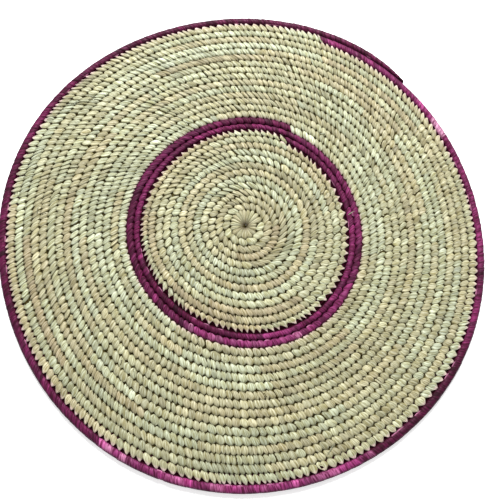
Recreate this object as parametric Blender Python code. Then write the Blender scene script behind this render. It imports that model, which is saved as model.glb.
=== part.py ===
"""Round straw placemat, worked as one long coil of straw wound flat in a spiral.

The coil starts at a small rosette in the middle and runs clockwise, seen from above. It is
wrapped in natural leaf, but for two rows of dyed leaf that make a ring, and one dyed row round
the edge, whose end lies outside its own beginning. Each stretch of leaf is one solid.

Metres, +Z up. The origin is the middle of the rosette, on the underside.
"""

import math

import bmesh
import bpy
from mathutils import Vector

# Driving sizes, in metres.
THICKNESS = 0.0056  # from the lowest to the highest crest of the rows
GROOVE_DEPTH = 0.0012  # of the groove between two rows, on either face
ROSETTE_RADIUS = 0.0079  # where the first row begins
GAP = 0.0003  # between two stretches, along their sides and at their ends

# The stretches of the coil, from the rosette outwards: how many rows, and how wide a row is.
STRETCHES = (
    {"name": "inner_coil", "rows": 12, "row_width": 0.00594, "leaf": "natural"},
    {"name": "ring", "rows": 2, "row_width": 0.00545, "leaf": "dyed"},
    {"name": "outer_coil", "rows": 15, "row_width": 0.00610, "leaf": "natural"},
    {"name": "rim", "rows": 1, "row_width": 0.00610, "leaf": "dyed"},
)

# Where a turn begins, as degrees counter-clockwise from +X.
RING_ANGLE = 65.2
RIM_ANGLE = 68.1

# The rows aren't quite round: each harmonic's height in metres and its direction in degrees,
# as it is at the ring and at the rim. Between them, and in towards the rosette, it fades over.
UNEVENNESS = (
    {"harmonic": 1, "at_ring": 0.00298, "ring_towards": -35, "at_rim": 0.00270, "rim_towards": -33},
    {"harmonic": 2, "at_ring": 0.00082, "ring_towards": -86, "at_rim": 0.00118, "rim_towards": -90},
    {"harmonic": 3, "at_ring": 0.00120, "ring_towards": -150, "at_rim": 0.00069, "rim_towards": 109},
    {"harmonic": 4, "at_ring": 0.00021, "ring_towards": 9, "at_rim": 0.00094, "rim_towards": -115},
)

# The loose end of the rim, which lies outside its own first centimetres and narrows.
TAIL_STEPS = 3  # its length, in steps round the mat
TAIL_END_WIDTH = 0.35  # as a share of the full row
TAIL_SHARPNESS = 4  # power of the narrowing, so most of it is in the last step
NOSE_OUT = 0.0002  # how far the rim's rounded edge stands outside its row
NOSE_DROP = 0.0015  # how far below the crest that edge starts

# How finely the solids are stepped.
STEPS = 44  # columns in each turn
CREST_FROM = 0.28  # a row's crest is flat between these shares of its width
CREST_TO = 0.72

# The middle of the rosette.
DISH_SHARE = 0.62  # its raised ring, as a share of the rosette's radius
DISH_DEPTH = 0.0018  # of the hollow in the middle of the upper face

LEAVES = {
    "natural": {"colour": (0.445, 0.425, 0.262, 1.0), "roughness": 0.62},
    "dyed": {"colour": (0.155, 0.034, 0.086, 1.0), "roughness": 0.55},
}
SHARP_ANGLE = math.radians(50)

RING_TURN = STRETCHES[0]["rows"]
RIM_TURN = sum(stretch["rows"] for stretch in STRETCHES[:3])


def clear_scene():
    for thing in list(bpy.data.objects):
        bpy.data.objects.remove(thing, do_unlink=True)


def leaf_material(leaf):
    """Straw or palm leaf in one colour."""
    material = bpy.data.materials.new(leaf + "_leaf")
    material.use_nodes = True
    shader = material.node_tree.nodes["Principled BSDF"]
    shader.inputs["Base Color"].default_value = LEAVES[leaf]["colour"]
    shader.inputs["Roughness"].default_value = LEAVES[leaf]["roughness"]
    shader.inputs["Metallic"].default_value = 0.0
    material.diffuse_color = LEAVES[leaf]["colour"]
    return material


def angle_at(turn):
    """The direction, in radians, in which the coil has got after so many turns."""
    share = min(max((turn - RING_TURN) / (RIM_TURN - RING_TURN), 0.0), 1.0)
    start = RING_ANGLE + share * (RIM_ANGLE - RING_ANGLE)
    return math.radians(start - 360.0 * turn)


def unevenness(turn, angle):
    """How far a row lies outside its true round at this turn and direction."""
    if turn < RING_TURN:
        ring_share, rim_share = max(turn, 0.0) / RING_TURN, 0.0
    else:
        rim_share = min((turn - RING_TURN) / (RIM_TURN - RING_TURN), 1.0)
        ring_share = 1.0 - rim_share
    total = 0.0
    for wave in UNEVENNESS:
        count = wave["harmonic"]
        at_ring = math.cos(count * angle - math.radians(wave["ring_towards"]))
        at_rim = math.cos(count * angle - math.radians(wave["rim_towards"]))
        total += ring_share * wave["at_ring"] * at_ring + rim_share * wave["at_rim"] * at_rim
    return total


def groove_radius(turn):
    """The radius of the groove along the inner side of the row, after so many turns."""
    radius, passed = ROSETTE_RADIUS, 0.0
    for stretch in STRETCHES:
        last = stretch is STRETCHES[-1]
        inside = turn - passed if last else min(turn - passed, stretch["rows"])
        radius += inside * stretch["row_width"]
        passed += stretch["rows"]
        if turn <= passed:
            break
    return radius + unevenness(turn, angle_at(turn))


def upright_points(mesh, radius, angle, above, below):
    """Two vertices, one over the other, on the upper and the lower face."""
    place = Vector((radius * math.cos(angle), radius * math.sin(angle), 0.0))
    upper = mesh.verts.new(place + Vector((0.0, 0.0, above)))
    lower = mesh.verts.new(place + Vector((0.0, 0.0, below)))
    return upper, lower


def tail_width(step, steps):
    """The rim's width at a step, as a share of the full row. Only its loose end is narrower."""
    past = max(0, step - STEPS) / max(1, steps - STEPS)
    return 1.0 - (1.0 - TAIL_END_WIDTH) * past**TAIL_SHARPNESS


def wound_band(mesh, first_turn, rows, open_middle, free_edge, extra_steps=0):
    """Winds the rows of one stretch, and returns the columns of its points.

    Each column holds (upper, lower) pairs from the inner groove outwards. The last pair of a
    column is the first pair of the column one turn later, or a pair of its own at the outside.
    """
    steps = rows * STEPS + extra_steps
    low, high = GROOVE_DEPTH, THICKNESS - GROOVE_DEPTH
    starts = []
    crests = []
    for step in range(steps + 1):
        turn = first_turn + step / STEPS
        angle = angle_at(turn)
        inner, outer = groove_radius(turn), groove_radius(turn + 1.0)
        if open_middle and step in (0, STEPS):
            angle = angle_at(first_turn) - GAP / 2 / inner
        if step == steps and not free_edge:
            angle += GAP / 2 / inner
        side = inner
        if open_middle and step <= STEPS:
            side += GAP / 2
        if step == steps and not free_edge:
            side -= GAP / 2
        starts.append(upright_points(mesh, side, angle, high, low))
        width = (outer - inner) * (tail_width(step, steps) if free_edge else 1.0)
        crests.append(
            [
                upright_points(mesh, inner + share * width, angle, THICKNESS, 0.0)
                for share in (CREST_FROM, CREST_TO)
            ]
        )
    edges = []
    for step in range(steps - STEPS + 1, steps + 1):
        turn = first_turn + step / STEPS
        angle = angle_at(turn)
        inner, outer = groove_radius(turn), groove_radius(turn + 1.0)
        if free_edge:
            radius = inner + (outer - inner + NOSE_OUT) * tail_width(step, steps)
            edges.append(
                upright_points(mesh, radius, angle, THICKNESS - NOSE_DROP, NOSE_DROP)
            )
            continue
        if step == steps:
            angle += GAP / 2 / inner
        edges.append(upright_points(mesh, outer - GAP / 2, angle, high, low))
    outers = starts[STEPS:] + edges
    return [
        [starts[step], *crests[step], outers[step]] for step in range(steps + 1)
    ]


def skin_band(mesh, columns, open_middle):
    """Faces of the wound rows: both faces, the walls along their sides and the two ends."""
    steps = len(columns) - 1
    for here, there in zip(columns, columns[1:]):
        for near, far, near_next, far_next in zip(here, here[1:], there, there[1:]):
            mesh.faces.new((near[0], near_next[0], far_next[0], far[0]))
            mesh.faces.new((near[1], far[1], far_next[1], near_next[1]))
    if open_middle:
        for step in range(STEPS):
            near, far = columns[step][0], columns[step + 1][0]
            mesh.faces.new((near[0], near[1], far[1], far[0]))
    for step in range(steps - STEPS, steps):
        near, far = columns[step][-1], columns[step + 1][-1]
        mesh.faces.new((near[0], far[0], far[1], near[1]))
    ends = [columns[-1]]
    if open_middle:
        ends.append(columns[0])
    for column in ends:
        around = [pair[0] for pair in column] + [pair[1] for pair in reversed(column)]
        mesh.faces.new(around)


def rosette(mesh, columns):
    """The middle: a dished upper face inside the first row, and a flat knot underneath."""
    raised = []
    for step in range(STEPS):
        angle = angle_at(step / STEPS)
        radius = DISH_SHARE * groove_radius(step / STEPS)
        raised.append(upright_points(mesh, radius, angle, THICKNESS, 0.0))
    raised.append(raised[0])
    middle = mesh.verts.new((0.0, 0.0, THICKNESS - DISH_DEPTH))
    for step in range(STEPS):
        near, far = raised[step], raised[step + 1]
        near_side, far_side = columns[step][0], columns[step + 1][0]
        mesh.faces.new((middle, far[0], near[0]))
        mesh.faces.new((near[0], far[0], far_side[0], near_side[0]))
        mesh.faces.new((near[1], near_side[1], far_side[1], far[1]))
    mesh.faces.new([pair[1] for pair in raised[:-1]])
    start = columns[0]
    for near, far in zip(start, start[1:]):
        mesh.faces.new((raised[0][0], near[0], far[0]))
        mesh.faces.new((raised[0][1], far[1], near[1]))


def add_stretch(stretch, first_turn, material):
    """One stretch of the coil as a closed solid in an object of its own."""
    innermost = stretch is STRETCHES[0]
    outermost = stretch is STRETCHES[-1]
    mesh = bmesh.new()
    columns = wound_band(
        mesh,
        first_turn,
        stretch["rows"],
        open_middle=not innermost,
        free_edge=outermost,
        extra_steps=TAIL_STEPS if outermost else 0,
    )
    skin_band(mesh, columns, open_middle=not innermost)
    if innermost:
        rosette(mesh, columns)
    bmesh.ops.recalc_face_normals(mesh, faces=mesh.faces)
    bmesh.ops.triangulate(mesh, faces=mesh.faces)
    data = bpy.data.meshes.new(stretch["name"])
    mesh.to_mesh(data)
    mesh.free()
    data.shade_smooth()
    data.set_sharp_from_angle(angle=SHARP_ANGLE)
    data.materials.append(material)
    solid = bpy.data.objects.new(stretch["name"], data)
    bpy.context.scene.collection.objects.link(solid)
    return solid


def build():
    clear_scene()
    materials = {leaf: leaf_material(leaf) for leaf in LEAVES}
    first_turn = 0
    for stretch in STRETCHES:
        add_stretch(stretch, first_turn, materials[stretch["leaf"]])
        first_turn += stretch["rows"]


build()
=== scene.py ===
# %% [markdown]
# # A round placemat of coiled straw
#
# The real mat is one long coil of grass, wound flat in a spiral. A strip of split leaf wraps the
# coil and sews each row to the row inside it, so the faces of the mat show only rows of leaf
# stitches, with small dark gaps where the grass looks through. The solids from the part's source
# have the right size and rows, but no stitches. This lesson lays every stitch as a small solid
# of its own on the same spiral, because their shadows and pointed ends are what the eye reads as
# straw, and bump alone can't give them from the side.

# %% Load the frame
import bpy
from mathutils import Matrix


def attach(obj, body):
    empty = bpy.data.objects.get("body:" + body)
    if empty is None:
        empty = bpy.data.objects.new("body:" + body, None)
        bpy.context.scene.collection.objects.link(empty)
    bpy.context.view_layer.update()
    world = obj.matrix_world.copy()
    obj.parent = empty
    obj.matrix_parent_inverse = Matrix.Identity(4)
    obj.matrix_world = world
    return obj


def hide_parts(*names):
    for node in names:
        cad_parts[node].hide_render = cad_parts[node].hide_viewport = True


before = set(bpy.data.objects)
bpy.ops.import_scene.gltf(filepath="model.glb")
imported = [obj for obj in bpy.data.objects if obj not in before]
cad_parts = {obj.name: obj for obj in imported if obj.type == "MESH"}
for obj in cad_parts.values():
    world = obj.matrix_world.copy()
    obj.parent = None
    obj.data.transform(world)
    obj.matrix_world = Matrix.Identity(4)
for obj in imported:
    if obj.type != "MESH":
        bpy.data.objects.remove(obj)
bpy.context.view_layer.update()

# %% Bring in the tools
import math
import random
from bisect import bisect_left, insort

import bpy
import numpy as np
from mathutils import Matrix, Vector

# %% [markdown]
# ## The camera
#
# The photograph was taken by hand from just above the mat, a little nearer to its front edge, so
# the back rows look slightly smaller. The place and the tip of the camera were worked out from
# where the rows lie in the picture. Setting them first means that every later render can be laid
# over the photograph.

# %% Place the camera
IMAGE_PIXELS = 500
FOCAL_PIXELS = 440.19  # the focal length, measured in pixels of that image
SENSOR_MM = 36.0
CAMERA_PLACE = Vector((-0.01130, -0.09659, 0.33754))  # metres
CAMERA_TIP = math.radians(13.022)  # away from straight down, towards the back edge
CAMERA_ROLL = math.radians(-2.5)
CLIP_START = 0.01

camera_data = bpy.data.cameras.new("camera")
camera_data.sensor_width = SENSOR_MM
camera_data.lens = FOCAL_PIXELS / IMAGE_PIXELS * SENSOR_MM
camera_data.clip_start = CLIP_START
camera = bpy.data.objects.new("camera", camera_data)
bpy.context.scene.collection.objects.link(camera)
camera.matrix_world = (
    Matrix.Translation(CAMERA_PLACE)
    @ Matrix.Rotation(CAMERA_TIP, 4, "X")
    @ Matrix.Rotation(CAMERA_ROLL, 4, "Y")
)
bpy.context.scene.camera = camera
print("lens, mm:", round(camera_data.lens, 2))

# %% [markdown]
# ## The spiral that everything follows
#
# A coiled mat has one groove, which runs from the rosette to the rim and keeps one row's width
# away from itself. Here it is one function: give it a number of turns and it gives the radius of
# the groove there. The numbers are the same as in the part's source, so the stitches lie on the
# solids. The rows of a mat made by hand aren't quite round, so slow waves are added.

# %% The stretches of the coil
THICKNESS = 0.0056
ROSETTE_RADIUS = 0.0079
STRETCHES = (
    {"name": "inner_coil", "rows": 12, "row_width": 0.00594},
    {"name": "ring", "rows": 2, "row_width": 0.00545},
    {"name": "outer_coil", "rows": 15, "row_width": 0.00610},
    {"name": "rim", "rows": 1, "row_width": 0.00610},
)
RING_TURN = STRETCHES[0]["rows"]
RING_END = RING_TURN + STRETCHES[1]["rows"]
RIM_TURN = RING_END + STRETCHES[2]["rows"]
RIM_END = RIM_TURN + STRETCHES[3]["rows"]
RING_ANGLE, RIM_ANGLE = 65.2, 68.1  # degrees counter-clockwise from +X, where a turn begins
UNEVENNESS = (  # waves per turn, then height in metres and direction at the ring and at the rim
    (1, 0.00298, -35, 0.00270, -33),
    (2, 0.00082, -86, 0.00118, -90),
    (3, 0.00120, -150, 0.00069, 109),
    (4, 0.00021, 9, 0.00094, -115),
)
TAIL_TURNS = 3 / 44  # the rim's loose end lies outside its own beginning for this long
TAIL_END_WIDTH = 0.35  # of a full row
TAIL_SHARPNESS = 4  # power of the narrowing, so most of it is near the end
print("rows:", RIM_END)


# %% Where the coil runs
def outward_share(turn):
    """0 as far as the ring, 1 at the rim."""
    return min(max((turn - RING_TURN) / (RIM_TURN - RING_TURN), 0.0), 1.0)


def angle_at(turn):
    """The direction of the coil, in radians, after so many clockwise turns."""
    start = RING_ANGLE + outward_share(turn) * (RIM_ANGLE - RING_ANGLE)
    return math.radians(start - 360.0 * turn)


def unevenness(turn):
    """How far the groove lies outside its true round."""
    rim_share = outward_share(turn)
    ring_share = max(turn, 0.0) / RING_TURN if turn < RING_TURN else 1.0 - rim_share
    angle = angle_at(turn)
    total = 0.0
    for waves, at_ring, ring_towards, at_rim, rim_towards in UNEVENNESS:
        total += ring_share * at_ring * math.cos(waves * angle - math.radians(ring_towards))
        total += rim_share * at_rim * math.cos(waves * angle - math.radians(rim_towards))
    return total


def groove_radius(turn):
    """The radius of the groove on the inner side of the row."""
    radius, passed = ROSETTE_RADIUS, 0
    for stretch in STRETCHES:
        last = stretch is STRETCHES[-1]
        inside = turn - passed if last else min(turn - passed, stretch["rows"])
        radius += inside * stretch["row_width"]
        passed += stretch["rows"]
        if turn <= passed:
            break
    return radius + unevenness(turn)


def row_at(turn):
    """The inner radius and the width of the row. Only the rim's loose end is narrower."""
    inner = groove_radius(turn)
    width = groove_radius(turn + 1.0) - inner
    past = max(0.0, turn - RIM_END) / TAIL_TURNS
    return inner, width * (1.0 - (1.0 - TAIL_END_WIDTH) * min(past, 1.0) ** TAIL_SHARPNESS)


for stretch, turn in zip(STRETCHES, (RING_TURN, RING_END, RIM_TURN, RIM_END)):
    print(stretch["name"], "ends at radius, mm:", round(1000 * groove_radius(turn), 1))


# %% [markdown]
# ## The grass core
#
# Inside the stitches runs a bundle of grass. It shows only in the gaps, as dark olive, and dark
# crimson under the dyed leaf: its own colours, darkened with the shade of the gaps painted in. A
# flattened tube is enough for it: a curve with a bevel would do, but a tube made point by point
# lets its turns overlap just enough that no light falls through.

# %% Wind the core
CORE_SIDES = 8
CORE_START = -1.95  # turns: a tight curl under the rosette comes before the first row
CORE_CURL_END = 0.15  # turns: as far as here the core is flatter, under the petals
CORE_STOPS_SHORT = 0.004  # turns, inside the rim's loose end
CORE_STEP = 0.005  # metres along the coil
CORE_STEPS_PER_TURN = 24  # at least, where the coil is tight
HALF_ROW = 0.003  # metres, about, from a groove to the row's middle
CORE_HALF_WIDTH = 0.56  # of the row, so that neighbours overlap and no floor shows between them
CORE_HALF_HEIGHT = 0.0018
CORE_CURL_HEIGHT = 0.0006


def core_turns():
    """The turns at which the core has a ring of points."""
    turns = []
    turn = CORE_START
    end = RIM_END + TAIL_TURNS - CORE_STOPS_SHORT
    while turn < end:
        turns.append(turn)
        middle = max(groove_radius(turn), 0.0) + HALF_ROW  # in the curl the groove gets below 0
        turn += min(CORE_STEP / (math.tau * middle), 1.0 / CORE_STEPS_PER_TURN)
    return turns + [end]


def core_ring(turn):
    """One ring of points round the core."""
    inner, width = row_at(turn)
    angle = angle_at(turn)
    tall = CORE_HALF_HEIGHT if turn > CORE_CURL_END else CORE_CURL_HEIGHT
    points = []
    for side in range(CORE_SIDES):
        around = math.tau * (side + 0.5) / CORE_SIDES
        radius = inner + width * (0.5 + CORE_HALF_WIDTH * math.cos(around))
        height = THICKNESS / 2 + tall * math.sin(around)
        points.append((radius * math.cos(angle), radius * math.sin(angle), height))
    return points


TURNS = core_turns()
print("rings of the core:", len(TURNS))

# %% Skin the core
CRIMSON_FROM = 1.0  # turns before dyed leaf begins, the holes show crimson grass
GRAIN_RINGS = 4  # rings of the core to one length of the grain's map
CELL_MARGIN, CELL_SHARE = 0.05, 0.9  # of a face's cell in the map to bake on: free, and used
CAP_RADIUS = 0.4  # of an end's round, in its cell


def core_mesh():
    """The core as a closed tube, with a map for its grain and a map to bake on."""
    points = [point for turn in TURNS for point in core_ring(turn)]
    faces, grain, bake = [], [], []
    rows = math.ceil(math.sqrt(len(TURNS)))
    for ring in range(len(TURNS) - 1):
        left, low = ring % rows / rows, ring // rows / rows
        for side in range(CORE_SIDES):
            after = (side + 1) % CORE_SIDES
            first, second = ring * CORE_SIDES, (ring + 1) * CORE_SIDES
            faces.append((first + side, first + after, second + after, second + side))
            for step, across in ((0, 0), (0, 1), (1, 1), (1, 0)):
                grain.append(((side + across) / CORE_SIDES, (ring + step) / GRAIN_RINGS))
                cell_across = (side + CELL_SHARE * across + CELL_MARGIN) / CORE_SIDES
                cell_along = CELL_SHARE * step + CELL_MARGIN
                bake.append((left + cell_across / rows, low + cell_along / rows))
    ends = (range(CORE_SIDES - 1, -1, -1), range(len(points) - CORE_SIDES, len(points)))
    for place, end in enumerate(ends):
        faces.append(tuple(end))
        for side in range(CORE_SIDES):
            around = math.tau * side / CORE_SIDES
            x, y = 0.5 + CAP_RADIUS * math.cos(around), 0.5 + CAP_RADIUS * math.sin(around)
            grain.append((x, y))
            bake.append((1.0 - x / rows, 1.0 - (y + 1 - place) / 2 / rows))
    mesh = bpy.data.meshes.new("core_coil")
    mesh.from_pydata(points, [], faces)
    mesh.uv_layers.new(name="leaf_map").uv.foreach_set("vector", np.ravel(grain))
    mesh.uv_layers.new(name="OFBake").uv.foreach_set("vector", np.ravel(bake))
    dye = [
        float(RING_TURN - CRIMSON_FROM <= turn < RING_END or turn >= RIM_TURN - CRIMSON_FROM)
        for turn in TURNS
    ]
    layer = mesh.attributes.new("dye", "FLOAT", "POINT")
    layer.data.foreach_set("value", np.repeat(dye, CORE_SIDES))
    mesh.shade_smooth()
    return mesh


core_coil = bpy.data.objects.new("core_coil", core_mesh())
bpy.context.scene.collection.objects.link(core_coil)
print("core's faces:", len(core_coil.data.polygons))

# %% [markdown]
# ## One stitch
#
# A stitch is a strip of leaf that goes over the coil, round it and down beside the row inside.
# Seen from above it is a long hexagon: it dives in between two stitches of the row inside, lies
# flat against its neighbours over the top of the coil, and comes to a point again where it dives
# between two stitches of the next row. Many a strip splits as it dives in, and has a forked end.
# A stitch is lofted here as rings of points round its length. Both faces of the mat are worked
# alike, so the same rings also make the underside, with fewer points.

# %% The section of a stitch
SECTION = (  # points round a stitch, in shares of its half width and of its half height
    (-1.00, 0.00), (-0.97, 0.78), (-0.80, 0.95), (-0.42, 0.99), (0.00, 1.00), (0.42, 0.99),
    (0.80, 0.95), (0.97, 0.78), (1.00, 0.00), (0.93, -0.80), (0.00, -1.00), (-0.93, -0.80),
)
TOP_POINT = 4  # the numbers of some of those points, pairs with the clockwise one first
BESIDE_TOP = (3, 5)
SHOULDERS = (2, 6)
EDGE_POINTS = (0, 8)
print("points round a stitch:", len(SECTION))

# %% Natural stitches
# Each ring: its place in row widths from the row's middle, and then its half width and its half
# height as shares of the full ones.
BODY = ((-0.12, 1.00, 0.985), (0.10, 1.00, 0.985))
POINTED_END = ((-0.56, 0.17, 0.44), (-0.45, 0.50, 0.71), (-0.30, 0.86, 0.90))
FORKED_END = ((-0.57, 0.46, 0.46), (-0.46, 0.70, 0.70), (-0.30, 0.92, 0.90))
OUTER_POINT = ((0.27, 0.85, 0.91), (0.42, 0.52, 0.75), (0.55, 0.21, 0.48))
NATURAL_STITCH = {
    "points": (-0.64, 0.63),  # where both ends lie, in row widths from the row's middle
    "rings": POINTED_END + BODY + OUTER_POINT,
    "crease": 0.00022,  # half of the most that a point of it is pressed in, in metres
    "overlap": 1.12,  # a stitch is this much wider than the room it has
    "tilt": 0.00026,  # metres that its counter-clockwise edge lies higher
}
BESIDE_RIM_STITCH = {  # its outer half is a long point, and holes are left beside it
    **NATURAL_STITCH,
    "points": (-0.62, 0.68),
    "rings": POINTED_END + (
        (-0.14, 1.00, 0.98), (0.09, 0.95, 0.96), (0.25, 0.73, 0.92), (0.41, 0.46, 0.86),
        (0.57, 0.21, 0.76),
    ),
}
BESIDE_RING_STITCH = {  # the same, and slimmer
    **NATURAL_STITCH,
    "points": (-0.62, 0.61),
    "rings": POINTED_END + (
        (-0.16, 1.00, 0.98), (0.01, 0.84, 0.96), (0.15, 0.52, 0.91), (0.31, 0.29, 0.86),
        (0.48, 0.13, 0.78),
    ),
}
BESIDE_DYED = (BESIDE_RING_STITCH, BESIDE_RIM_STITCH)
print("rings of a stitch:", len(NATURAL_STITCH["rings"]))

# %% [markdown]
# ## Dyed stitches
#
# The dyed leaf is broader and lies flatter. Where a dyed row follows a natural one, its stitches
# begin with blunt corners between the long points of that row, like the teeth of a saw. At the
# ring's back they are rounder and stand apart, and those of the rim keep their full width as far
# as the edge. Every form keeps the same number of rings, so that all fit in one kind of mesh.

# %% Shape the dyed stitches
DYED_END = ((-0.54, 0.24, 0.34), (-0.42, 0.60, 0.64), (-0.28, 0.91, 0.88))
DYED_POINT = ((0.26, 0.90, 0.88), (0.40, 0.62, 0.62), (0.53, 0.26, 0.30))
ROUNDED_POINT = ((0.28, 0.94, 0.86), (0.42, 0.66, 0.60), (0.53, 0.24, 0.30))
BLUNT_END = ((-0.41, 0.50, 0.34), (-0.33, 0.84, 0.62), (-0.22, 1.00, 0.87))
BROAD_EDGE = ((0.31, 1.00, 0.87), (0.45, 1.00, 0.62), (0.54, 1.00, 0.32))
DYED_STITCH = {
    "points": (-0.60, 0.60),
    "rings": DYED_END + BODY + DYED_POINT,
    "crease": 0.00018,
    "overlap": 1.22,
    "tilt": 0.00034,
}
ROUNDED_DYED_STITCH = {
    **DYED_STITCH,
    "rings": DYED_END + BODY + ROUNDED_POINT,
    "crease": 0.00016,
    "overlap": 1.10,
    "tilt": 0.00016,
}
FIRST_DYED_STITCH = {
    **DYED_STITCH,
    "points": (-0.46, 0.60),
    "rings": BLUNT_END + BODY + DYED_POINT,
}
RIM_STITCH = {
    **DYED_STITCH,
    "points": (-0.53, 0.58),
    "rings": BLUNT_END + BODY + BROAD_EDGE,
    "overlap": 1.5,
}
ROUNDED_FROM = 13.76  # turns, at the ring's back
FORMS = (  # the turn up to which each form is used
    (RING_TURN - 1, NATURAL_STITCH),
    (RING_TURN, BESIDE_RING_STITCH),
    (RING_TURN + 1, FIRST_DYED_STITCH),
    (ROUNDED_FROM, DYED_STITCH),
    (RING_END, ROUNDED_DYED_STITCH),
    (RIM_TURN - 1, NATURAL_STITCH),
    (RIM_TURN, BESIDE_RIM_STITCH),
    (math.inf, RIM_STITCH),
)


def form_at(turn):
    """The form of a stitch at this turn."""
    return next(form for end, form in FORMS if turn < end)


print("rings of a dyed stitch:", len(form_at(RING_TURN)["rings"]))

# %% Shape one stitch
TIP_BEND = 3  # power with which the tip bends towards its notch
FORK_FROM, FORK_LENGTH = 0.20, 0.36  # in row widths: where a fork begins, and how long it gets


def stitch_rings(stitch):
    """The points of a stitch: an end point, the rings, and the other end point."""
    form = stitch["form"]
    inner, width = row_at(stitch["turn"])
    direction = angle_at(stitch["turn"])
    middle = inner + width * (0.5 + stitch["sway"])
    tip, end = form["points"]
    half_height = THICKNESS / 2 - stitch["sink"]

    def point(along, across, height):
        radius = middle + along * width
        aside = stitch["lean"] * along * width
        if along < 0:
            aside += stitch["tip_pull"] * (along / tip) ** TIP_BEND
        angle = direction + aside / radius + across / middle
        above_table = max(THICKNESS / 2 + height, 0.0)
        return (radius * math.cos(angle), radius * math.sin(angle), above_table)

    form_rings = form["rings"]
    if stitch["fork"] > 0.0:
        form_rings = FORKED_END + form_rings[len(FORKED_END):]
    rings = []
    for along, wide, tall in form_rings:
        ring = []
        fork = stitch["fork"] * max(0.0, -along - FORK_FROM) / FORK_LENGTH
        for (across, crown), crease in zip(SECTION, stitch["creases"]):
            height = tall * (half_height * crown - math.copysign(crease, crown))
            height += stitch["tilt"] * across * wide
            drawn_in = along + fork * max(0.0, 1.0 - 2.0 * abs(across))
            ring.append(point(drawn_in, across * wide * stitch["half_width"], height))
        rings.append(ring)
    return [point(tip + stitch["fork"], 0.0, 0.0)], rings, [point(end, 0.0, 0.0)]


# %% [markdown]
# ## Where the stitches go
#
# The sewer pushes each new stitch in between two stitches of the row inside, so its tip lies in
# the notch between their outer ends, and the rows close like the teeth of a zip. That is why the
# stitches line up in curved files across the mat. The rule is used as it is: walk along the coil
# from notch to notch. Each row is longer than the one inside it, so where two notches are too far
# apart a stitch is added, and where they are too close one is left out. A strip of leaf lasts
# for some ten or twenty stitches, so colour and width change by the strip.

# %% The rule for spacing
SPACING = 0.0048  # metres between stitches
WIDER = 1.15  # the dyed stitches, and those of the rows just inside them, are this much wider
ADD_BEYOND = 1.38  # of the spacing: farther apart, two notches get a stitch in between
ADDED_AT = 0.45  # of the way to the next notch
NO_NOTCH_BEYOND = 2.5  # of the spacing: a notch so far off is no guide
SKIP_WITHIN = 0.62  # of the spacing: closer together, a notch is passed over
STEP_VARIES = (0.9, 1.1)  # of the spacing, where there is no notch at all
NEAR_BEFORE, NEAR_AFTER = 2, 6  # laid ends that are looked at

rng = random.Random(12)
laid_ends = []  # the turns at which the stitches' outer ends lie, in order


def tip_after(last, spacing):
    """The turn at which the next stitch dives in, after the last one's tip."""
    step = spacing / (math.tau * groove_radius(last))
    place = bisect_left(laid_ends, last - 1.0)
    near = laid_ends[max(place - NEAR_BEFORE, 0):place + NEAR_AFTER]
    for first, second in zip(near, near[1:]):
        notch = (first + second) / 2 + 1.0
        if notch >= last + NO_NOTCH_BEYOND * step:
            return last + step
        if notch > last + ADD_BEYOND * step:
            return last + ADDED_AT * (notch - last)
        if notch > last + SKIP_WITHIN * step:
            return notch
    return last + step * rng.uniform(*STEP_VARIES)


print("stitches in the rim, about:", round(math.tau * groove_radius(RIM_TURN) / SPACING / WIDER))

# %% [markdown]
# ## Strips of leaf
#
# No two leaves have the same colour, so a strip is a run of stitches of one tone that begins and
# ends at once. Most strips are drawn at random, from a list of the tones that such leaf has and
# how common each is. A few runs stand out in the real mat, tan ones and nearly white ones, and in
# the ring and the rim the paler and the darker stretches of dye. Those are named with the turns
# between which they lie.

# %% The strips of leaf
NATURAL_TONES_USED = (0.12, 0.32, 0.50, 0.72)  # from tan to whitish
NATURAL_TONE_SHARES = (0.05, 0.28, 0.39, 0.28)
NATURAL_TONE_VARIES = 0.06
DYED_TONE = 0.48
DYED_TONE_VARIES = 0.05
STRIP_SHADE_VARIES = 0.05
STRIP_STITCHES = (8, 22)  # the fewest and the most in a strip
TAN_BELOW = 0.2  # of the natural tones
TAN_WIDTH = 0.86  # of the spacing: tan strips are narrow
STRIP_WIDTHS = (0.9, 1.12)  # and the others lie between these
SMOOTH_LEAF = 0.5  # how ragged a strip's stitches are: tan and dyed ones little
RAGGED_LEAF = (0.7, 1.2)  # and the others more
LEAN = math.radians(28)  # outwards, the stitches lean counter-clockwise
LEAN_SWING = math.radians(8)  # more to the back and the left, less to the front and the right
MOST_LEAN_TOWARDS = math.radians(135)
LEAN_BY_STRIP = math.radians(5)
NOTICED_STRIPS = (  # first turn, last turn and tone of strips that stand out
    (7.30, 7.50, 0.80), (10.33, 10.44, 0.16), (10.44, 10.56, 0.00), (10.56, 10.70, 0.12),
    (11.00, 11.10, 0.18), (11.40, 11.53, 0.05), (11.66, 11.90, 0.08),
    (12.19, 12.35, 0.55), (12.35, 12.43, 0.70), (12.52, 12.60, 0.28),
    (13.00, 13.27, 0.58), (13.27, 13.35, 0.68), (13.35, 13.52, 0.80), (13.52, 13.60, 0.55),
    (14.00, 14.03, 1.00), (25.80, 26.00, 0.85), (28.00, 28.13, 0.25), (28.52, 28.70, 0.16),
    (29.02, 29.10, 0.70), (29.10, 29.12, 1.00), (29.12, 29.27, 0.52), (29.27, 29.36, 0.26),
    (29.36, 29.53, 0.80), (29.53, 29.61, 0.46), (29.61, 30.08, 0.33),
)


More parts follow.
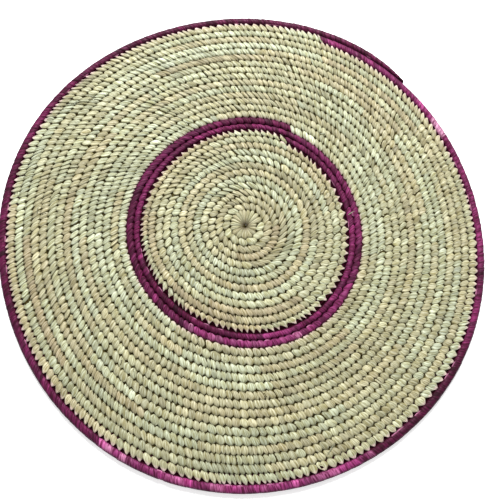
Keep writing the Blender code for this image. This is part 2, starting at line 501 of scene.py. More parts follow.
def strip_of_leaf(turn, dyed):
    """What one strip of leaf has in common: where it ends, its colour, its width and its lean."""
    noticed = [strip for strip in NOTICED_STRIPS if strip[0] <= turn < strip[1]]
    tone = DYED_TONE + rng.gauss(0.0, DYED_TONE_VARIES)
    if not dyed:
        tone = rng.choices(NATURAL_TONES_USED, NATURAL_TONE_SHARES)[0]
        tone += rng.gauss(0.0, NATURAL_TONE_VARIES)
    length = rng.randint(*STRIP_STITCHES) * SPACING / (math.tau * groove_radius(turn))
    if noticed:
        tone, length = noticed[0][2], noticed[0][1] - turn
    else:
        later = [strip[0] - turn for strip in NOTICED_STRIPS if strip[0] > turn]
        length = min([length, *later])
    tan = not dyed and tone < TAN_BELOW
    lean = LEAN + LEAN_SWING * math.cos(angle_at(turn) - MOST_LEAN_TOWARDS)
    spacing = SPACING * (WIDER if dyed or form_at(turn) in BESIDE_DYED else 1.0)
    return {
        "end": turn + length,
        "tone": tone,
        "shade": rng.gauss(1.0, STRIP_SHADE_VARIES),
        "spacing": spacing * (TAN_WIDTH if tan else rng.uniform(*STRIP_WIDTHS)),
        "ragged": SMOOTH_LEAF if tan or dyed else rng.uniform(*RAGGED_LEAF),
        "lean": lean + rng.gauss(0.0, LEAN_BY_STRIP),
    }


print("strips that stand out:", len(NOTICED_STRIPS))

# %% How one stitch differs from the next
SPLIT_SHARE = 0.42  # of the natural stitches are two strands, with a furrow between them
SPLIT_DEPTH = 0.0007
SPLIT_FORK = (0.06, 0.20)  # how deep the fork between the strands gets, in row widths
TRIPLE_SHARE = 0.16  # are three strands
TRIPLE_DEPTH = 0.00045
LIFTED_SHARE = 0.28  # have one edge that stands up
LIFTED_CLOCKWISE = 0.4  # of those, the clockwise edge
LIFTED_EDGE = 0.00045


def creases_of(depth, dyed):
    """How far each point of the section is pressed in, and how deep the end is forked."""
    creases = [rng.uniform(-2 * depth, 2 * depth) for _ in SECTION]
    kind = 1.0 if dyed else rng.random()
    fork = 0.0
    if kind < SPLIT_SHARE:
        creases[TOP_POINT] = SPLIT_DEPTH
        fork = rng.uniform(*SPLIT_FORK)
    elif kind < SPLIT_SHARE + TRIPLE_SHARE:
        for number in BESIDE_TOP:
            creases[number] = TRIPLE_DEPTH
    elif kind < SPLIT_SHARE + TRIPLE_SHARE + LIFTED_SHARE:
        side = 0 if rng.random() < LIFTED_CLOCKWISE else 1
        creases[SHOULDERS[side]] = -LIFTED_EDGE
        creases[BESIDE_TOP[side]] = LIFTED_EDGE
    for number in EDGE_POINTS:
        creases[number] = 0.0
    return creases, fork


# %% Where the dye differs
PALE_TIP_SHARE = 0.10  # of the dyed stitches have a pale pink inner tip
RUBBED_OUTSIDE = (0.4, 1.0)  # least and most dye rubbed off on natural stitches inside a dyed row
RUBBED_INSIDE = (0.4, 0.9)  # and on those just outside the ring


def dye_and_shade_at(turn, dyed):
    """Where the dye differs: above 0 on a stitch's outer half, below 0 on its inner tip.

    Natural leaf beside dyed leaf is rubbed pink. Dyed leaf has some pale inner tips, and the
    rim's stitches get painted shade on their outer side.
    """
    if dyed:
        if rng.random() < PALE_TIP_SHARE:
            return -1.0
        # 1 marks the rim's stitches, which get painted shade on their outer side
        return 1.0 if turn >= RIM_TURN else 0.0
    if RING_TURN - 1.0 < turn < RING_TURN or RIM_TURN - 1.0 < turn < RIM_TURN:
        return rng.uniform(*RUBBED_OUTSIDE)
    return -rng.uniform(*RUBBED_INSIDE) if RING_END < turn < RING_END + 1.0 else 0.0


# %% Lay the stitches of one stretch
LEAN_BY_STITCH = math.radians(4)
EDGE_SHIFT = 0.00036  # metres that the edge between two stitches strays
LEAST_WIDTH = 0.35  # of the spacing
SWAY = 0.018  # row widths that a stitch strays outwards or inwards
SINK = 0.00016  # metres that a stitch lies lower
TILT_VARIES = 0.00026
TONE_VARIES = 0.05
SHADE_VARIES = 0.10
DYED_SHADE_VARIES = 0.21
OUTER_END = 0.66  # row widths from the row's middle to the end that makes a notch


def lay_stitches(first_turn, last_turn, dyed=False):
    """The stitches from one turn to another."""
    stitches = []
    shade_varies = DYED_SHADE_VARIES if dyed else SHADE_VARIES
    strip = strip_of_leaf(first_turn, dyed)
    inner, width = row_at(first_turn)
    slope = math.tan(strip["lean"])
    start = first_turn
    tip = tip_after(start + 0.5 * slope * width / (math.tau * inner), strip["spacing"] * 0.5)
    while start < last_turn:
        if start >= strip["end"]:
            strip = strip_of_leaf(start, dyed)
        form = form_at(start)
        inner, width = row_at(start)
        middle = inner + width / 2
        slope = math.tan(strip["lean"] + rng.gauss(0.0, LEAN_BY_STITCH))
        following = tip_after(tip, strip["spacing"])
        back = math.tan(strip["lean"]) * -form["points"][0] * width / (math.tau * inner)
        stop = (tip + following) / 2 - back
        stop += rng.gauss(0.0, EDGE_SHIFT) * strip["ragged"] / (math.tau * middle)
        least = LEAST_WIDTH * SPACING / (math.tau * middle)
        stop = max(stop, start + least)
        if stop > last_turn - least:
            stop = last_turn
        here = (start + stop) / 2
        lean_alone = slope * form["points"][0] * width
        creases, fork = creases_of(form["crease"] * strip["ragged"], dyed)
        stitches.append(
            {
                "turn": here,
                "form": form,
                "half_width": (stop - here) * math.tau * middle * form["overlap"],
                "lean": slope,
                "tip_pull": (here - tip) * math.tau * inner - lean_alone,
                "sway": rng.gauss(0.0, SWAY) * strip["ragged"],
                "sink": abs(rng.gauss(0.0, SINK)) * strip["ragged"],
                "tilt": rng.gauss(form["tilt"], TILT_VARIES) * strip["ragged"],
                "creases": creases,
                "fork": fork,
                "tone": min(max(strip["tone"] + rng.gauss(0.0, TONE_VARIES), 0.0), 1.0),
                "shade": strip["shade"] * rng.gauss(1.0, shade_varies),
                "seed": rng.random(),
                "dye_and_shade": dye_and_shade_at(here, dyed),
            }
        )
        outer_end = slope * OUTER_END * width / (math.tau * (middle + width / 2))
        insort(laid_ends, here - outer_end)
        start, tip = stop, following
    return stitches


# %% [markdown]
# ## From stitches to a mesh
#
# Some thousand stitches as separate objects would be slow to handle, so those of one stretch
# are joined in one mesh. Every stitch has the same number of points in the same order, so one
# pattern of faces and one pattern of map corners serve for all of them, each time moved on by
# one stitch. Colour, shade and a random number are stored with the points, for the material.

# %% The pattern of one leaf
def leaf_pattern(ring_count, around):
    """The faces of one leaf, and for each corner its places in both maps."""
    ring_size = len(around)
    faces, grain, bake = [], [], []

    def vertex(ring, number):
        """The leaf's first point is ring -1, and its last point is the ring after the last."""
        if ring < 0:
            return 0
        if ring == ring_count:
            return ring_count * ring_size + 1
        return 1 + ring * ring_size + number % ring_size

    def add_face(*places):
        """A face through these places, each a ring and a number round it."""
        faces.append(tuple(vertex(*place) for place in places))
        for ring, number in places:
            is_point = ring in (-1, ring_count)
            across = 0.5 if is_point else (around[number % ring_size][0] + 1) / 2
            along = (ring + 1) / (ring_count + 1)
            grain.append((across, along))
            bake.append((number / ring_size, along))

    last = ring_count - 1
    for number in range(ring_size):
        add_face((-1, number + 0.5), (0, number + 1), (0, number))
        for ring in range(last):
            after = ring + 1
            add_face((ring, number), (ring, number + 1), (after, number + 1), (after, number))
        add_face((last, number), (last, number + 1), (ring_count, number + 0.5))
    return faces, np.array(grain), np.array(bake)


# %% Join leaves in one mesh
BAKE_MARGIN = 0.04  # of a stitch's cell in the map to bake on
FACTS = ("tone", "shade", "seed", "dye_and_shade", "hole_shade")  # stored with the points of each leaf


def leaf_piece(name, leaves, around=SECTION):
    """One object of many closed leaves: (first point, rings, last point) and the leaf's facts."""
    ring_count = len(leaves[0][0][1])
    faces, grain, bake = leaf_pattern(ring_count, around)
    size = ring_count * len(around) + 2
    points = [
        point
        for (first, rings, last), _ in leaves
        for ring in (first, *rings, last)
        for point in ring
    ]
    mesh = bpy.data.meshes.new(name)
    mesh.from_pydata(
        points,
        [],
        [tuple(size * n + v for v in face) for n in range(len(leaves)) for face in faces],
    )
    columns = math.ceil(math.sqrt(len(leaves)))
    cells = np.array([(n % columns, n // columns) for n in range(len(leaves))])
    inset = BAKE_MARGIN + bake * (1 - 2 * BAKE_MARGIN)
    placed = (cells[:, None, :] + inset[None, :, :]) / columns
    leaf_map = np.tile(grain, (len(leaves), 1))
    mesh.uv_layers.new(name="leaf_map").uv.foreach_set("vector", leaf_map.ravel())
    mesh.uv_layers.new(name="OFBake").uv.foreach_set("vector", placed.ravel())
    for fact in FACTS:
        values = np.repeat([facts.get(fact, 0.0) for _, facts in leaves], size)
        mesh.attributes.new(fact, "FLOAT", "POINT").data.foreach_set("value", values)
    mesh.shade_smooth()
    piece = bpy.data.objects.new(name, mesh)
    bpy.context.scene.collection.objects.link(piece)
    triangles = len(leaves) * sum(len(face) - 2 for face in faces)
    print(name, "-", len(leaves), "leaves,", triangles, "triangles")
    return piece


# %% [markdown]
# ## The rosette in the middle
#
# The coil starts as a curl no wider than a coin, and the first wraps all go through the same
# hole. They open out like the petals of a flower. On the side where the first row hasn't begun
# yet they are long and narrow, and on the other side short and broad.

# %% Shape the petals
PETAL_SECTION = (  # rounder than a stitch
    (-1.00, 0.00), (-0.95, 0.66), (-0.76, 0.91), (-0.40, 0.99), (0.00, 1.00), (0.40, 0.99),
    (0.76, 0.91), (0.95, 0.66), (1.00, 0.00), (0.93, -0.80), (0.00, -1.00), (-0.93, -0.80),
)
PETAL_RINGS = (  # place along the petal, half width and half height as shares
    (0.13, 0.10, 0.30),
    (0.24, 0.23, 0.56),
    (0.40, 0.43, 0.78),
    (0.60, 0.66, 0.92),
    (0.80, 0.88, 0.94),
    (0.92, 0.82, 0.82),
    (1.00, 0.44, 0.58),
)
PETAL_ENDS = (0.09, 1.06)  # where its two end points lie, along the petal
PETAL_LENGTH_VARIES = (-0.0004, 0.0006)  # metres
PETAL_LIES_LOWER = (-0.0003, 0.0)
PETAL_CREASE = 0.0002
PETAL_BEND = 0.10
PETAL_OVERLAP = 1.12
PETAL_SLIMMER = 0.9
PETAL_TONES = (0.25, 0.5)
PETAL_SHADE, PETAL_SHADE_VARIES = 1.04, 0.07
FIRST_STITCH_TURN = 0.15  # the first row's stitches begin here, and petals before it are longer


def petal(turn, turn_width):
    """One petal, as a leaf."""
    start = turn + 1.0 if turn < FIRST_STITCH_TURN else turn
    length = groove_radius(start) + rng.uniform(*PETAL_LENGTH_VARIES)
    half_angle = math.pi * turn_width * PETAL_OVERLAP
    direction = angle_at(turn)
    half_height = THICKNESS / 2 + rng.uniform(*PETAL_LIES_LOWER)
    creases = [rng.uniform(-PETAL_CREASE, PETAL_CREASE) for _ in PETAL_SECTION]

    def point(along, across, height):
        radius = along * length
        angle = direction + across + PETAL_BEND * along
        return (radius * math.cos(angle), radius * math.sin(angle), THICKNESS / 2 + height)

    rings = []
    for along, wide, tall in PETAL_RINGS:
        ring = []
        for (across, crown), crease in zip(PETAL_SECTION, creases):
            height = tall * (half_height * crown - math.copysign(crease, crown))
            ring.append(point(along, across * wide / along * half_angle * PETAL_SLIMMER, height))
        rings.append(ring)
    facts = {
        "tone": rng.uniform(*PETAL_TONES),
        "shade": rng.gauss(PETAL_SHADE, PETAL_SHADE_VARIES),
        "seed": rng.random(),
        "hole_shade": 1.0,
    }
    first, last = [[point(along, 0.0, 0.0)] for along in PETAL_ENDS]
    return (first, rings, last), facts


# %% Lay the petals
PETAL_TURN = 0.058  # of a turn, on average
PETAL_VARIES = 0.32  # narrower and broader by this share
PETAL_RANDOM = (0.9, 1.1)
NARROWEST_TOWARDS = math.radians(110)
LAST_PETAL_WITHIN = 1.6  # petals' widths: the last one fills the room that is left

petals, turn = [], 0.0
while turn < 1.0:
    narrow = PETAL_VARIES * math.cos(angle_at(turn) - NARROWEST_TOWARDS)
    turn_width = PETAL_TURN * (1.0 - narrow) * rng.uniform(*PETAL_RANDOM)
    if turn + LAST_PETAL_WITHIN * turn_width > 1.0:
        turn_width = 1.0 - turn
    petals.append(petal(turn + turn_width / 2, turn_width))
    turn += turn_width
rosette_petals = leaf_piece("rosette_petals", petals)


# %% [markdown]
# ## The rows of natural and dyed leaf
#
# The stretches are laid in the order in which they were sewn, from the rosette outwards, because
# each row's tips need the ends of the row inside it. The long outer stretch is kept in three
# pieces, so that no mesh is too heavy.

# %% Sew every row
def sew(name, first_turn, last_turn, dyed=False):
    """A piece of stitches from one turn to another."""
    stitches = lay_stitches(first_turn, last_turn, dyed)
    return leaf_piece(name, [(stitch_rings(stitch), stitch) for stitch in stitches])


MIDDLE_FROM, MIDDLE_TO = 20.5, 25.0  # turns, where the outer stretch is divided
OUTER_PARTS = (
    ("outer_stitches_near_ring", RING_END, MIDDLE_FROM),
    ("outer_stitches_middle", MIDDLE_FROM, MIDDLE_TO),
    ("outer_stitches_near_rim", MIDDLE_TO, RIM_TURN),
)
inner_stitches = sew("inner_stitches", FIRST_STITCH_TURN, RING_TURN)
ring_stitches = sew("ring_stitches", RING_TURN, RING_END, dyed=True)
outer_stitches = [sew(name, first, last) for name, first, last in OUTER_PARTS]
rim_stitches = sew("rim_stitches", RIM_TURN, RIM_END + TAIL_TURNS, dyed=True)

# %% [markdown]
# ## Loose slivers
#
# Split leaf frays. Here and there a thin pale sliver has come loose and lies across the rows.
# Each is a slim closed blade, bent a little.

# %% Shape a sliver
SLIVER_AROUND = ((-1.0, 0), (0.0, 1), (1.0, 0), (0.0, -1))
SLIVER_RINGS = (0.12, 0.35, 0.62, 0.86)
SLIVER_TAPER = (0.15, 0.8)  # the start and the length of the part of half a wave that it is
SLIVER_THICKNESS = 0.00012
SLIVER_SUNK = 0.0002  # metres that its first end lies below the crests
SLIVER_RISE = 0.0005  # metres that its other end lies higher
SLIVER_BEND = 0.15
SLIVER_SHADES = (1.0, 1.12)


def sliver(turn, heading, length, half_width, tone):
    """One sliver: where along the coil, which way it points, and its size."""
    inner, width = row_at(turn)
    angle = angle_at(turn)
    middle = Vector((math.cos(angle), math.sin(angle), 0.0)) * (inner + width * rng.random())
    forward = Vector((math.cos(angle + heading), math.sin(angle + heading), 0.0))
    aside = Vector((-forward.y, forward.x, 0.0))
    bend = rng.uniform(-SLIVER_BEND, SLIVER_BEND)
    taper_from, taper_over = SLIVER_TAPER

    def point(along, across, height):
        place = middle + forward * length * (along - 0.5) + aside * across
        place += aside * length * bend * (along - 0.5) ** 2
        rise = THICKNESS - SLIVER_SUNK + SLIVER_RISE * along
        return (place.x, place.y, rise + height)

    rings = []
    for along in SLIVER_RINGS:
        wide = half_width * math.sin(math.pi * (taper_from + taper_over * along))
        thick = SLIVER_THICKNESS
        rings.append([point(along, across * wide, up * thick) for across, up in SLIVER_AROUND])
    facts = {"tone": tone, "shade": rng.uniform(*SLIVER_SHADES), "seed": rng.random()}
    return ([point(0.0, 0.0, 0.0)], rings, [point(1.0, 0.0, 0.0)]), facts


# %% Scatter the slivers
SLIVER_COUNT = 18
SLIVER_AREA = (0.002, 0.95)  # of the mat, from the middle outwards
SLIVER_LENGTHS = (0.004, 0.010)
SLIVER_HALF_WIDTHS = (0.00018, 0.00038)
SLIVER_TONES = (0.6, 1.0)

slivers = []
for _ in range(SLIVER_COUNT):
    slivers.append(
        sliver(
            turn=RIM_END * math.sqrt(rng.uniform(*SLIVER_AREA)),
            heading=rng.uniform(0.0, math.tau),
            length=rng.uniform(*SLIVER_LENGTHS),
            half_width=rng.uniform(*SLIVER_HALF_WIDTHS),
            tone=rng.uniform(*SLIVER_TONES),
        )
    )
loose_slivers = leaf_piece("loose_slivers", slivers, SLIVER_AROUND)

# %% [markdown]
# ## What makes it look like leaf
#
# Dried leaf shows fine lines along its length, lighter and darker, and painted shade makes it a
# little darker where it turns down over its edge and where it dives into the mat. Natural and
# dyed leaf share both effects, so each is a group of nodes with named inputs, placed in the
# materials with different values. The map that the groups read runs across a stitch from 0 to 1
# and along it from 0 to 1.


# %% Helpers for nodes
def add_node(tree, kind, inputs=None, **settings):
    """A node with its settings; inputs are values, or outputs of other nodes to link."""
    node = tree.nodes.new(kind)
    for name, value in settings.items():
        setattr(node, name, value)
    for name, value in (inputs or {}).items():
        if isinstance(value, bpy.types.NodeSocket):
            tree.links.new(value, node.inputs[name])
        else:
            node.inputs[name].default_value = value
    return node


def maths(tree, operation, first, second=0.0, third=0.0):
    """The result of one sum."""
    node = add_node(tree, "ShaderNodeMath", {0: first, 1: second, 2: third}, operation=operation)
    return node.outputs[0]


def smooth_step(tree, value, start, end, low=0.0, high=1.0):
    """A soft change from low to high as value goes from start to end."""
    inputs = {"Value": value, "From Min": start, "From Max": end, "To Min": low, "To Max": high}
    node = add_node(tree, "ShaderNodeMapRange", inputs, interpolation_type="SMOOTHSTEP")
    return node.outputs["Result"]


def mixed(tree, share, first, second, blend="MIX"):
    """Two colours mixed. A share below 0 counts as 0."""
    inputs = {0: share, 6: first, 7: second}  # the numbers of the sockets that mix colours
    node = add_node(tree, "ShaderNodeMix", inputs, data_type="RGBA", blend_type=blend)
    return node.outputs[2]


def new_group(name, inputs, outputs):
    """An empty group, with its named sockets, and its two end nodes."""
    group = bpy.data.node_groups.new(name, "ShaderNodeTree")
    for title, kind in inputs:
        group.interface.new_socket(title, in_out="INPUT", socket_type=kind)
    for title in outputs:
        group.interface.new_socket(title, in_out="OUTPUT", socket_type="NodeSocketFloat")
    return group, group.nodes.new("NodeGroupInput"), group.nodes.new("NodeGroupOutput")


# %% The group for fibres
SEED_SPREAD = 97.0  # sends each stitch to a place of its own in the pattern
SPOTS_ALONG = 1.6  # spots of the pattern in a stitch's length, so that they are long lines
STREAK_FROM, STREAK_TO = 0.32, 0.68
FINE_SCALE, FINE_HEIGHT = 2.7, 0.5

fibres, fibres_in, fibres_out = new_group(
    "leaf_fibres",
    (("Map", "NodeSocketVector"), ("Seed", "NodeSocketFloat"), ("Lines", "NodeSocketFloat")),
    ("Streak", "Height"),
)
place = add_node(fibres, "ShaderNodeSeparateXYZ", {0: fibres_in.outputs["Map"]})
seed = maths(fibres, "MULTIPLY", fibres_in.outputs["Seed"], SEED_SPREAD)
across = maths(fibres, "MULTIPLY_ADD", place.outputs["X"], fibres_in.outputs["Lines"], seed)
along = maths(fibres, "MULTIPLY_ADD", place.outputs["Y"], SPOTS_ALONG, seed)
spot = add_node(fibres, "ShaderNodeCombineXYZ", {"X": across, "Y": along, "Z": seed})
broad = add_node(
    fibres, "ShaderNodeTexNoise", {"Vector": spot.outputs[0], "Scale": 1.0, "Detail": 2.0}
)
fine = add_node(
    fibres, "ShaderNodeTexNoise", {"Vector": spot.outputs[0], "Scale": FINE_SCALE, "Detail": 1.0}
)
streak = smooth_step(fibres, broad.outputs[0], STREAK_FROM, STREAK_TO)
fibres.links.new(streak, fibres_out.inputs["Streak"])
height = maths(fibres, "MULTIPLY_ADD", fine.outputs[0], FINE_HEIGHT, streak)
fibres.links.new(height, fibres_out.inputs["Height"])
print("group:", fibres.name)

# %% The group for edges and ends, where shade is painted
EDGE_MASKS = (("X", 0.55, "Edge"), ("Y", 0.42, "End"))  # axis, where the painted shade begins, and its output

edge_masks, edge_masks_in, edge_masks_out = new_group(
    "leaf_edge_masks", (("Map", "NodeSocketVector"),), ("Edge", "End", "Along")
)
place = add_node(edge_masks, "ShaderNodeSeparateXYZ", {0: edge_masks_in.outputs["Map"]})
edge_masks.links.new(place.outputs["Y"], edge_masks_out.inputs["Along"])
# Edge and End are masks for painted shade at a stitch's side edges and at its ends
for axis, start, output in EDGE_MASKS:
    from_middle = maths(edge_masks, "MULTIPLY_ADD", place.outputs[axis], 2.0, -1.0)
    outwards = maths(edge_masks, "ABSOLUTE", from_middle)
    edge_masks.links.new(smooth_step(edge_masks, outwards, start, 1.0), edge_masks_out.inputs[output])
print("group:", edge_masks.name)

# %% [markdown]
# ## The leaf materials
#
# The number stored with each stitch picks its colour from a ramp: for natural leaf from tan
# through straw yellow and pale green to nearly white, for dyed leaf from plum to pale pink.
# Colours are written as a painter would read them off a screen, 0 to 255, and turned into the
# linear values that Blender mixes with.


# %% Helpers for materials
def screen_colour(red, green, blue):
    """A linear colour from screen values. The numbers are those of the sRGB curve."""
    linear = [
        value / 255 / 12.92 if value < 10.3 else ((value / 255 + 0.055) / 1.055) ** 2.4
        for value in (red, green, blue)
    ]
    return (*linear, 1.0)


def stored(tree, fact):
    """A number that is stored with each leaf."""
    return add_node(tree, "ShaderNodeAttribute", attribute_name=fact).outputs["Fac"]


def new_material(name, lines, roughness_low, roughness_high):
    """A material with its tree, its shader, and the two groups."""
    material = bpy.data.materials.new(name)
    material.use_nodes = True
    tree = material.node_tree
    shader = tree.nodes["Principled BSDF"]
    leaf_map = add_node(tree, "ShaderNodeUVMap", uv_map="leaf_map").outputs[0]
    grain = add_node(tree, "ShaderNodeGroup", node_tree=fibres)
    edges = add_node(tree, "ShaderNodeGroup", node_tree=edge_masks)
    tree.links.new(leaf_map, grain.inputs["Map"])
    tree.links.new(leaf_map, edges.inputs["Map"])
    tree.links.new(stored(tree, "seed"), grain.inputs["Seed"])
    grain.inputs["Lines"].default_value = lines
    streak = grain.outputs["Streak"]
    roughness = smooth_step(tree, streak, 0.0, 1.0, roughness_high, roughness_low)
    tree.links.new(roughness, shader.inputs["Roughness"])
    return material, tree, shader, grain, edges


def add_bump(tree, shader, height, strength, distance):
    """Relief that the mesh is too coarse for."""
    inputs = {"Height": height, "Strength": strength, "Distance": distance}
    bump = add_node(tree, "ShaderNodeBump", inputs)
    tree.links.new(bump.outputs[0], shader.inputs["Normal"])


def tone_ramp(tree, stops):
    """The leaf's colour, from the tone that is stored with each stitch."""
    ramp = add_node(tree, "ShaderNodeValToRGB", {"Fac": stored(tree, "tone")})
    elements = ramp.color_ramp.elements
    while len(elements) < len(stops):
        elements.new(0.5)
    for element, (place, colour) in zip(elements, stops):
        element.position = place
        element.color = screen_colour(*colour)
    return ramp.outputs["Color"]


def shaded(tree, colour):
    """The colour times the stitch's own shade."""
    shade = stored(tree, "shade")
    grey = add_node(tree, "ShaderNodeCombineColor", {0: shade, 1: shade, 2: shade})
    return mixed(tree, 1.0, colour, grey.outputs[0], "MULTIPLY")


def streaked(tree, grain, colour, streak_colour):
    """The colour with darker lines along the leaf."""
    darker = mixed(tree, 1.0, colour, screen_colour(*streak_colour), "MULTIPLY")
    return mixed(tree, grain.outputs["Streak"], darker, colour)


# %% Natural leaf
NATURAL_TONES = (
    (0.00, (190, 178, 148)),
    (0.12, (193, 185, 153)),
    (0.30, (194, 190, 158)),
    (0.50, (192, 193, 162)),
    (0.72, (196, 203, 175)),
    (1.00, (214, 222, 200)),
)
NATURAL_LINES = 9.0  # across a stitch
NATURAL_ROUGHNESS = (0.42, 0.68)  # on the light lines and on the dark ones
NATURAL_SHEEN = 0.1
NATURAL_STREAK = (182, 174, 140)
# painted shade along the side edges of each stitch, where it turns down into the seams
NATURAL_EDGE_SHADE, NATURAL_EDGE_SHADE_SHARE = (138, 128, 80), 0.25
# painted shade where each stitch dives into the mat
NATURAL_END_SHADE, NATURAL_END_SHADE_SHARE = (112, 106, 64), 0.4
LEAF_RELIEF = (0.9, 0.0003)  # strength, and height in metres

natural_leaf, tree, shader, grain, edges = new_material(
    "natural_leaf", NATURAL_LINES, *NATURAL_ROUGHNESS
)
shader.inputs["Sheen Weight"].default_value = NATURAL_SHEEN
colour = streaked(tree, grain, shaded(tree, tone_ramp(tree, NATURAL_TONES)), NATURAL_STREAK)
# painted shade along the sides of each stitch
edge_shade = maths(tree, "MULTIPLY", edges.outputs["Edge"], NATURAL_EDGE_SHADE_SHARE)
colour = mixed(tree, edge_shade, colour, screen_colour(*NATURAL_EDGE_SHADE))
add_bump(tree, shader, grain.outputs["Height"], *LEAF_RELIEF)

# %% [markdown]
# ## Rubbed dye, and painted shade at the hole
#
# Dye comes off on the natural leaf beside it: on the outer halves of the stitches just inside a
# dyed row, and on the inner halves of those just outside the ring. A painted image could show
# that, but a number stored with each stitch and a soft step along the leaf give every stitch a
# pink of its own strength. Shade is painted on the petals of the rosette, darker towards their
# hole, and a soft step does that too.

# %% Rub the dye off and paint shade towards the hole
DYE_RUB = (240, 208, 204)
RUB_OUTSIDE = (0.58, 0.84)  # along a stitch, where the rubbing begins and where it is full
RUB_INSIDE = (0.05, 0.38)  # and where it is full and ends, on its inner half
# painted shade on the petals towards the rosette's hole
HOLE_SHADE, HOLE_SHADE_SHARE = (92, 72, 36), 0.85
HOLE_SHADE_ALONG = (0.05, 0.50)

dye_and_shade = stored(tree, "dye_and_shade")
outer_half = smooth_step(tree, edges.outputs["Along"], *RUB_OUTSIDE)
inner_half = smooth_step(tree, edges.outputs["Along"], *RUB_INSIDE, -1.0, 0.0)
rubbed_outside = maths(tree, "MULTIPLY", dye_and_shade, outer_half)
rubbed_inside = maths(tree, "MULTIPLY", dye_and_shade, inner_half)
rubbed = maths(tree, "MAXIMUM", rubbed_outside, rubbed_inside)
colour = mixed(tree, rubbed, colour, screen_colour(*DYE_RUB))
# painted shade at both ends of each stitch, less where dye is rubbed on
less = maths(tree, "MULTIPLY", rubbed, NATURAL_END_SHADE_SHARE)
end_shade_share = maths(tree, "SUBTRACT", NATURAL_END_SHADE_SHARE, less)
end = maths(tree, "MULTIPLY", edges.outputs["End"], end_shade_share)
colour = mixed(tree, end, colour, screen_colour(*NATURAL_END_SHADE))
# painted shade, darker towards the hole
towards_hole = smooth_step(tree, edges.outputs["Along"], *HOLE_SHADE_ALONG, HOLE_SHADE_SHARE, 0.0)
hole_shade = maths(tree, "MULTIPLY", stored(tree, "hole_shade"), towards_hole)
colour = mixed(tree, hole_shade, colour, screen_colour(*HOLE_SHADE))
tree.links.new(colour, shader.inputs["Base Color"])
print(natural_leaf.name, "has nodes:", len(tree.nodes))

# %% Dyed leaf
DYED_TONES = (
    (0.00, (44, 3, 22)),
    (0.30, (87, 14, 56)),
    (0.50, (112, 30, 79)),
    (0.80, (156, 60, 120)),
    (1.00, (210, 150, 182)),
)
DYED_LINES = 8.0
DYED_ROUGHNESS = (0.5, 0.75)
DYED_GLOSS = 0.2
DYED_STREAK = (142, 84, 116)
# painted shade where each dyed stitch dives into the groove
DYED_END_SHADE, DYED_END_SHADE_SHARE = (58, 2, 24), 0.9
PALE_DYE, PALE_SHARE, PALE_ALONG = (226, 150, 188), 0.9, (0.10, 0.30)
# painted shade on the outer side of the rim, where it rounds down away from the light
RIM_SHADE, RIM_SHADE_SHARE, RIM_SHADE_ALONG = (52, 2, 36), 0.5, (0.56, 0.74)

dyed_leaf, tree, shader, grain, edges = new_material("dyed_leaf", DYED_LINES, *DYED_ROUGHNESS)
shader.inputs["Specular IOR Level"].default_value = DYED_GLOSS
colour = streaked(tree, grain, shaded(tree, tone_ramp(tree, DYED_TONES)), DYED_STREAK)
# painted shade at both ends of the dyed stitches
end = maths(tree, "MULTIPLY", edges.outputs["End"], DYED_END_SHADE_SHARE)
colour = mixed(tree, end, colour, screen_colour(*DYED_END_SHADE))
dye_and_shade = stored(tree, "dye_and_shade")
inner_tip = smooth_step(tree, edges.outputs["Along"], *PALE_ALONG, -PALE_SHARE, 0.0)
pale = maths(tree, "MULTIPLY", dye_and_shade, inner_tip)
colour = mixed(tree, pale, colour, screen_colour(*PALE_DYE))
# painted shade on the rim's outer side
outer_side = smooth_step(tree, edges.outputs["Along"], *RIM_SHADE_ALONG, 0.0, RIM_SHADE_SHARE)
rim_shade = maths(tree, "MULTIPLY", dye_and_shade, outer_side)
colour = mixed(tree, rim_shade, colour, screen_colour(*RIM_SHADE))
tree.links.new(colour, shader.inputs["Base Color"])
add_bump(tree, shader, grain.outputs["Height"], *LEAF_RELIEF)
print(dyed_leaf.name, "has nodes:", len(tree.nodes))

# %% Core grass
# the grass's own olive and crimson, darkened to paint in the shade of the gaps
OLIVE_IN_SHADE, CRIMSON_IN_SHADE = (70, 62, 30), (44, 3, 18)
CORE_LINES = 16.0
CORE_ROUGHNESS = (0.7, 0.9)
CORE_GLOSS = 0.05
CORE_STREAK = (150, 140, 130)
CORE_RELIEF = (0.6, 0.0002)

core_grass, tree, shader, grain, edges = new_material("core_grass", CORE_LINES, *CORE_ROUGHNESS)
shader.inputs["Specular IOR Level"].default_value = CORE_GLOSS
colour = mixed(tree, stored(tree, "dye"), screen_colour(*OLIVE_IN_SHADE), screen_colour(*CRIMSON_IN_SHADE))
colour = streaked(tree, grain, colour, CORE_STREAK)
tree.links.new(colour, shader.inputs["Base Color"])
add_bump(tree, shader, grain.outputs["Height"], *CORE_RELIEF)
print(core_grass.name, "has nodes:", len(tree.nodes))

# %% [markdown]
# ## Put the pieces on the frame
#
# Every piece rides on the mat's one body and gets one of the materials made above, and the
# plain solids that the pieces stand for are hidden.

# %% Ride, and hide the plain solids
NATURAL_PIECES = [rosette_petals, inner_stitches, *outer_stitches, loose_slivers]
DYED_PIECES = [ring_stitches, rim_stitches]

for piece in NATURAL_PIECES:
    piece.data.materials.append(natural_leaf)
for piece in DYED_PIECES:
    piece.data.materials.append(dyed_leaf)
core_coil.data.materials.append(core_grass)
for piece in (core_coil, *NATURAL_PIECES, *DYED_PIECES):
    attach(piece, "root")
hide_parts("inner_coil")
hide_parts("ring")
for piece in outer_stitches:
    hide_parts("outer_coil")
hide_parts("rim")
print("pieces:", 1 + len(NATURAL_PIECES) + len(DYED_PIECES))

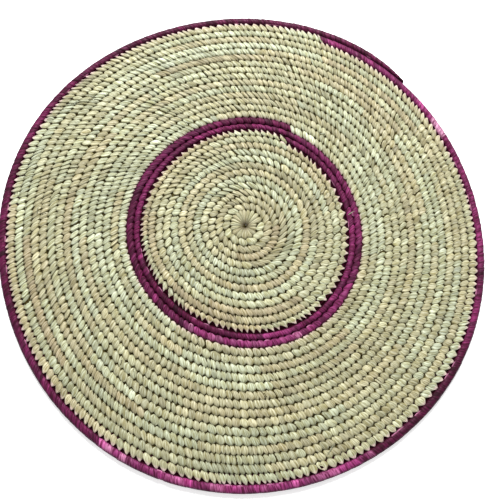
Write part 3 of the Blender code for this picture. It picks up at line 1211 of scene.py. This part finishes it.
# %% [markdown]
# ## Floor and light
#
# The mat was photographed against plain white. A large pale floor stands for that, and it glows
# a little, so that the mat's shadow on it stays faint. One soft light comes from behind the back
# edge and leaves the gaps on the near side of the stitches dark, and a white surround fills the
# shadows.

# %% Make the floor
FLOOR_HALF = 3.0
FLOOR_DROP = 0.0002  # metres below the mat, so that their faces don't share a plane
FLOOR_COLOUR = (0.9, 0.9, 0.9, 1.0)
FLOOR_ROUGHNESS = 0.9
WHITE = (1.0, 1.0, 1.0, 1.0)
FLOOR_GLOW = 0.45

floor_mesh = bpy.data.meshes.new("floor")
floor_mesh.from_pydata(
    [
        (x * FLOOR_HALF, y * FLOOR_HALF, -FLOOR_DROP)
        for x, y in ((-1, -1), (1, -1), (1, 1), (-1, 1))
    ],
    [],
    [(0, 1, 2, 3)],
)
floor = bpy.data.objects.new("floor", floor_mesh)
bpy.context.scene.collection.objects.link(floor)
floor_paint = bpy.data.materials.new("floor_paint")
floor_paint.use_nodes = True
floor_shader = floor_paint.node_tree.nodes["Principled BSDF"]
floor_shader.inputs["Base Color"].default_value = FLOOR_COLOUR
floor_shader.inputs["Roughness"].default_value = FLOOR_ROUGHNESS
floor_shader.inputs["Emission Color"].default_value = WHITE
floor_shader.inputs["Emission Strength"].default_value = FLOOR_GLOW
floor_mesh.materials.append(floor_paint)
print("floor, metres across:", 2 * FLOOR_HALF)

# %% Light it
KEY_PLACE = Vector((0.0, 0.98, 1.00))
KEY_SIZE = 0.45
KEY_WATTS = 33.5
SURROUND = 0.50

key_data = bpy.data.lights.new("key", "AREA")
key_data.shape = "DISK"
key_data.size = KEY_SIZE
key_data.energy = KEY_WATTS
key = bpy.data.objects.new("key", key_data)
key.location = KEY_PLACE
key.rotation_euler = (-KEY_PLACE).to_track_quat("-Z", "Y").to_euler()
bpy.context.scene.collection.objects.link(key)

world = bpy.data.worlds.new("surround")
world.use_nodes = True
world.node_tree.nodes["Background"].inputs["Color"].default_value = WHITE
world.node_tree.nodes["Background"].inputs["Strength"].default_value = SURROUND
bpy.context.scene.world = world
bpy.context.scene.view_settings.view_transform = "Standard"
print("light, metres away:", round(KEY_PLACE.length, 2))
